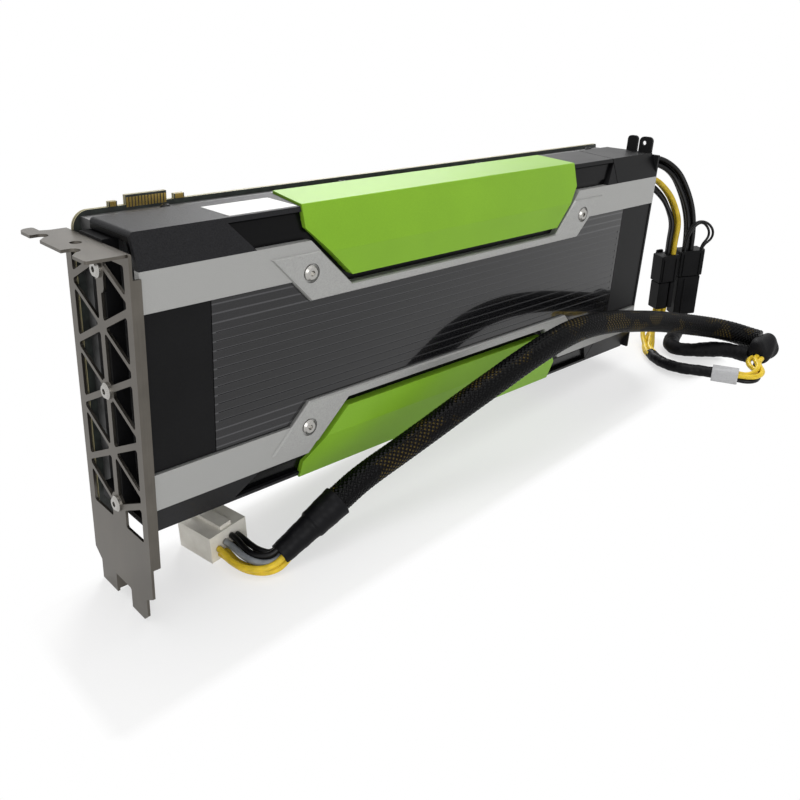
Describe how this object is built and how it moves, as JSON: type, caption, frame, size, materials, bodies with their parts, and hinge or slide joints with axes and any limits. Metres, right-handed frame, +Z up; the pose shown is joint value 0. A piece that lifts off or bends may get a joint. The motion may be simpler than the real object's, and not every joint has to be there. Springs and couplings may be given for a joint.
{
  "type": "passive accelerator card",
  "caption": "Full-height double-slot passive accelerator card with a truss-grille slot bracket, bevelled air shroud, coloured accents and its sleeved power cable set.",
  "frame": {"origin": "on the floor under the middle of the card's bounding box, the card standing on its slot tongues and the rear lower corner of its board", "axes": "+X from the slot bracket to the rear end, +Y from the shroud's face to the board's back, +Z up"},
  "size_m": [0.3378, 0.0988, 0.1262],
  "materials": {
    "bracket_metal": "warm grey nickel-plated sheet, satin",
    "screw_metal": "bright machine screws",
    "dark_screw": "blackened screws",
    "board": "dark solder mask, pale edges",
    "gold": "gold-plated contacts",
    "shroud_silver": "fine bead-blasted silver",
    "textured_black": "fine textured black",
    "cap_black": "satin black",
    "accent_green": "satin light green",
    "name_panel": "satin near black",
    "lined_panel": "glossy dark grey with fine lines",
    "paper": "blank white paper label",
    "cast_plate": "cast aluminium",
    "sink": "mill-finish aluminium fins",
    "copper_base": "plated sink base",
    "substrate": "green package substrate",
    "silicon": "polished silicon",
    "pad_grey": "soft thermal pad",
    "choke": "pressed powder chokes",
    "black_plastic": "black moulded plastic",
    "backplate": "matt black sheet",
    "can": "capacitor cans",
    "plug_white": "natural nylon plug",
    "yellow_wire": "yellow wire insulation",
    "mixed_wire": "yellow and black wires together",
    "black_wire": "black tubing and wire",
    "braid": "black braided sleeve",
    "label_white": "white wrap-round label"
  },
  "bodies": {
    "root": {"io_bracket": "bracket_metal", "bracket_screws": "screw_metal", "bracket_post": "cap_black", "board": "board", "edge_contacts": "gold", "bridge_contacts": "gold", "shroud_shell": "cap_black", "front_cap_upper": "textured_black", "rear_trim_upper": "cap_black", "rear_cap_upper": "cap_black", "upper_accent": "accent_green", "upper_rail": "shroud_silver", "front_cap_lower": "textured_black", "rear_trim_lower": "cap_black", "rear_cap_lower": "cap_black", "lower_accent": "accent_green", "lower_rail": "shroud_silver", "rail_screws": "screw_metal", "edge_screws": "dark_screw", "name_panel": "name_panel", "lined_panel": "lined_panel", "rear_panel": "name_panel", "sticker": "paper", "base_plate": "cast_plate", "heatsink_base": "copper_base", "heatsink_fins": "sink", "gpu_substrate": "substrate", "gpu_die": "silicon", "memory_stacks": "silicon", "inductors": "choke", "capacitors": "can", "mosfets": "black_plastic", "thermal_pads": "pad_grey", "backplate": "backplate", "backplate_screws": "dark_screw", "retention_spring": "screw_metal", "power_socket": "black_plastic", "rear_bracket": "cap_black", "power_plug": "black_plastic", "pigtail_a": "yellow_wire", "pigtail_b": "black_wire", "sense_wires": "black_wire", "socket_housings": "black_plastic", "plug_housings": "black_plastic", "branch_a_wires": "yellow_wire", "branch_a_tube": "black_wire", "cable_label": "label_white", "branch_a_tail": "yellow_wire", "branch_b": "black_wire", "sleeve_end_tape": "black_wire", "sleeve": "braid", "shrink_tube": "black_wire", "connector_wires": "mixed_wire", "board_connector": "plug_white"}
  },
  "joints": []
}
